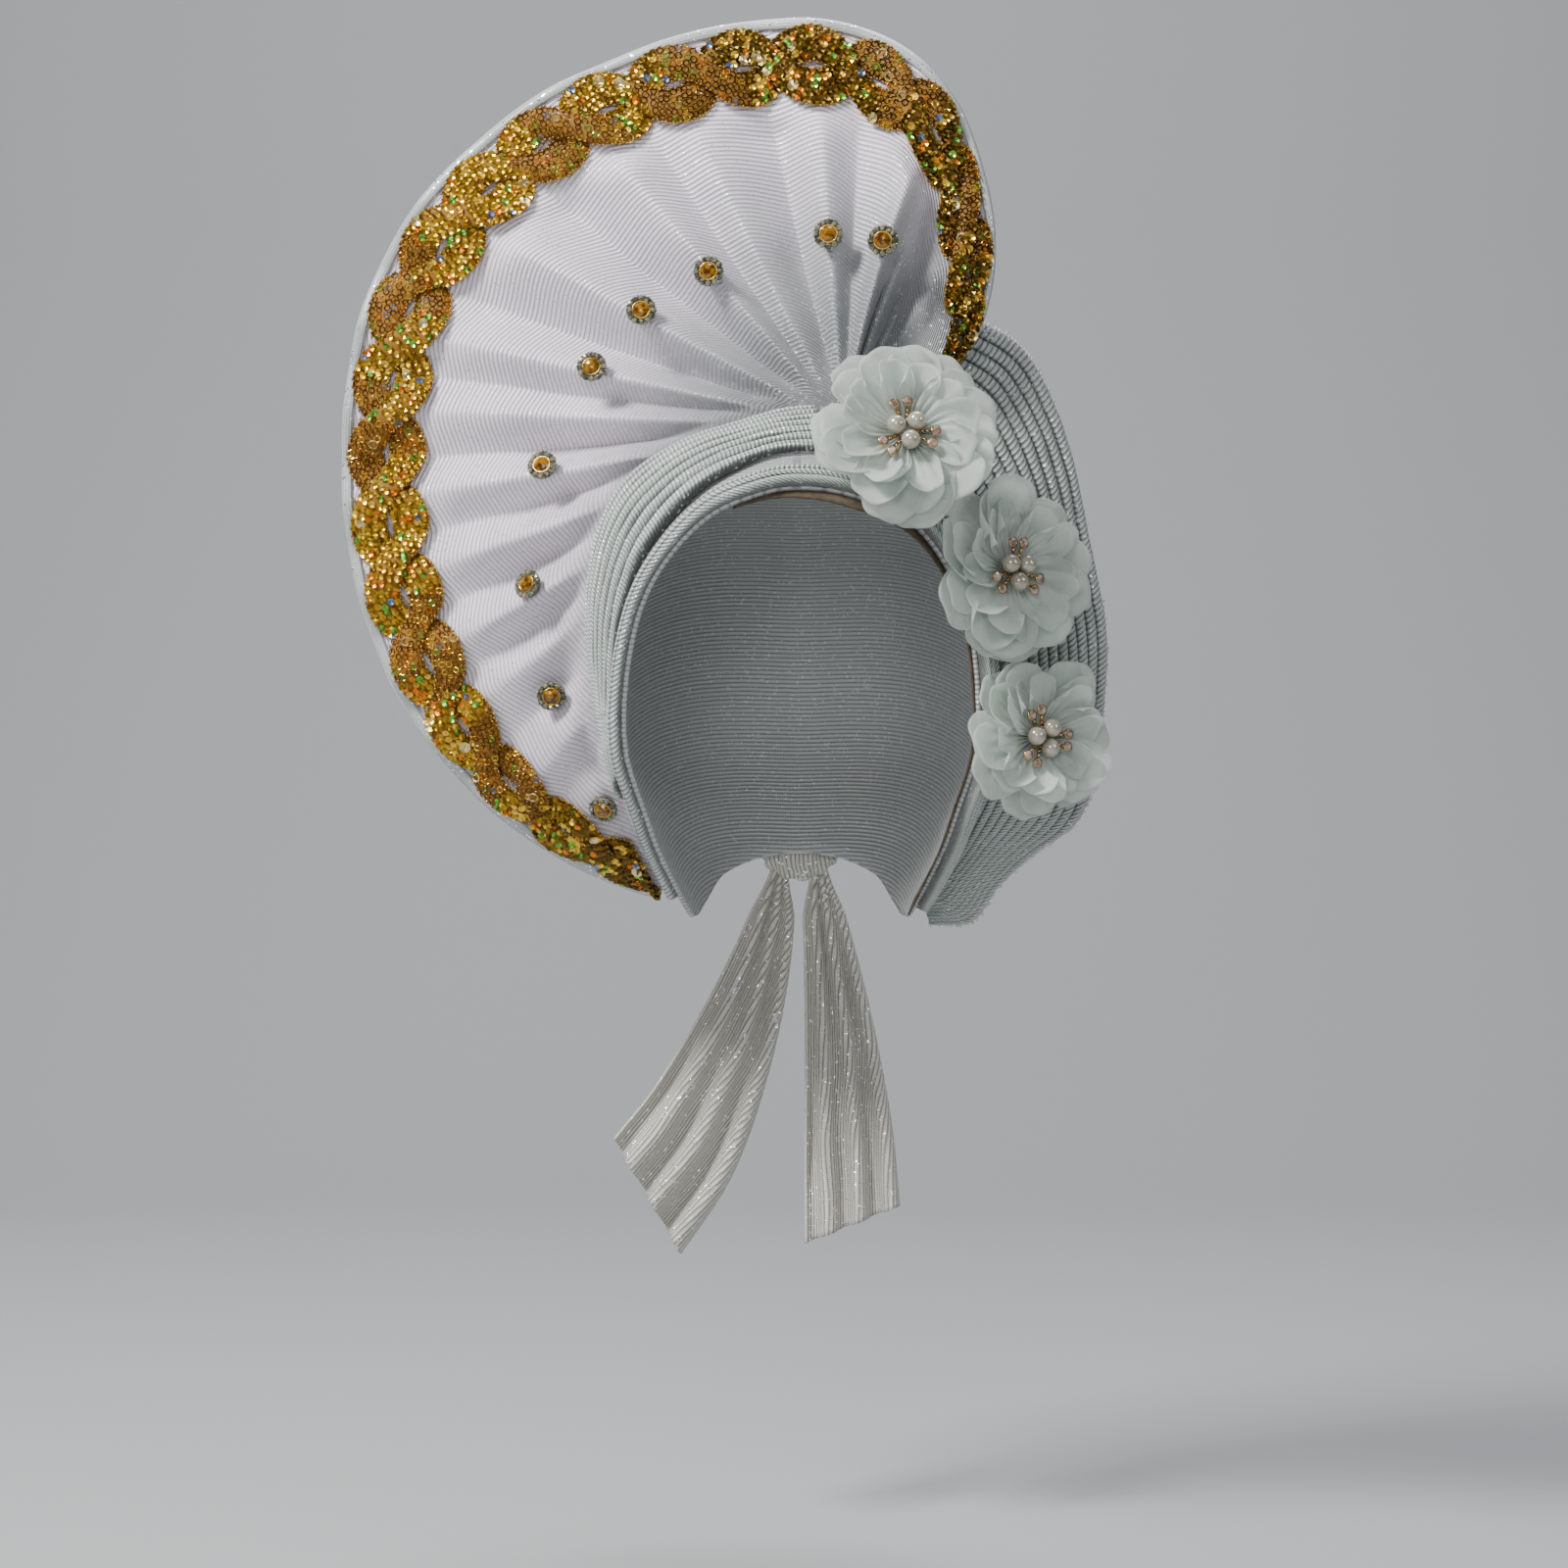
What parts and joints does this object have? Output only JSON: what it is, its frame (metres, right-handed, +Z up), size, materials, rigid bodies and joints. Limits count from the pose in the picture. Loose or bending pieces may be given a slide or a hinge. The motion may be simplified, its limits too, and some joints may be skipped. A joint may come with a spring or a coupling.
{
  "type": "gele head tie",
  "caption": "Tied gele head tie: hollow bonnet, pleated fan with a sequin braid on its rim, pleated wing, cloth flowers with pearls, gem studs and loose tie ends.",
  "frame": {"origin": "innermost point of the bonnet's crown, where it rests on the wearer's head", "axes": "+X to the viewer's right seen from the front, +Y to the back, +Z up; the front faces -Y"},
  "size_m": [0.3042, 0.1927, 0.4977],
  "materials": {
    "cap_cloth": "ribbed cloth, cool silver white, in the shade of the folds",
    "fan_cloth": "ribbed cloth with a faint silver glitter",
    "wing_cloth": "ribbed cloth in narrow pleats",
    "band_cloth": "ribbed cloth rolled into a band",
    "gather_cloth": "ribbed cloth in nested folds",
    "tie_cloth": "ribbed cloth, a little greyer at the tie",
    "sequins": "gold ring and cup sequins on peach gauze",
    "petals": "white chiffon, slightly sheer",
    "gilt": "bright gilt with small crystals",
    "pearl": "ivory pearl lustre",
    "crystal": "small grey crystals in claws",
    "amber": "faceted amber stone"
  },
  "bodies": {
    "root": {"cap": "cap_cloth", "face_band": "band_cloth", "fan": "fan_cloth", "sequin_braid": "sequins", "side_gathers": "gather_cloth", "pleated_wing": "wing_cloth", "gather_knot": "gather_cloth", "flower_1_outer_petals": "petals", "flower_1_inner_petals": "petals", "flower_1_spray": "gilt", "flower_1_pearl_1": "pearl", "flower_1_pearl_2": "pearl", "flower_1_pearl_3": "pearl", "flower_2_outer_petals": "petals", "flower_2_inner_petals": "petals", "flower_2_spray": "gilt", "flower_2_pearl_1": "pearl", "flower_2_pearl_2": "pearl", "flower_2_pearl_3": "pearl", "flower_3_outer_petals": "petals", "flower_3_inner_petals": "petals", "flower_3_spray": "gilt", "flower_3_pearl_1": "pearl", "flower_3_pearl_2": "pearl", "flower_3_pearl_3": "pearl", "stud_1_setting": "crystal", "stud_1_stone": "amber", "stud_2_setting": "crystal", "stud_2_stone": "amber", "stud_3_setting": "crystal", "stud_3_stone": "amber", "stud_4_setting": "crystal", "stud_4_stone": "amber", "stud_5_setting": "crystal", "stud_5_stone": "amber", "stud_6_setting": "crystal", "stud_6_stone": "amber", "stud_7_setting": "crystal", "stud_7_stone": "amber", "stud_8_setting": "crystal", "stud_8_stone": "amber", "stud_9_setting": "crystal", "stud_9_stone": "amber", "nape_knot": "tie_cloth", "tie_tail_left": "tie_cloth", "tie_tail_right": "tie_cloth"}
  },
  "joints": []
}
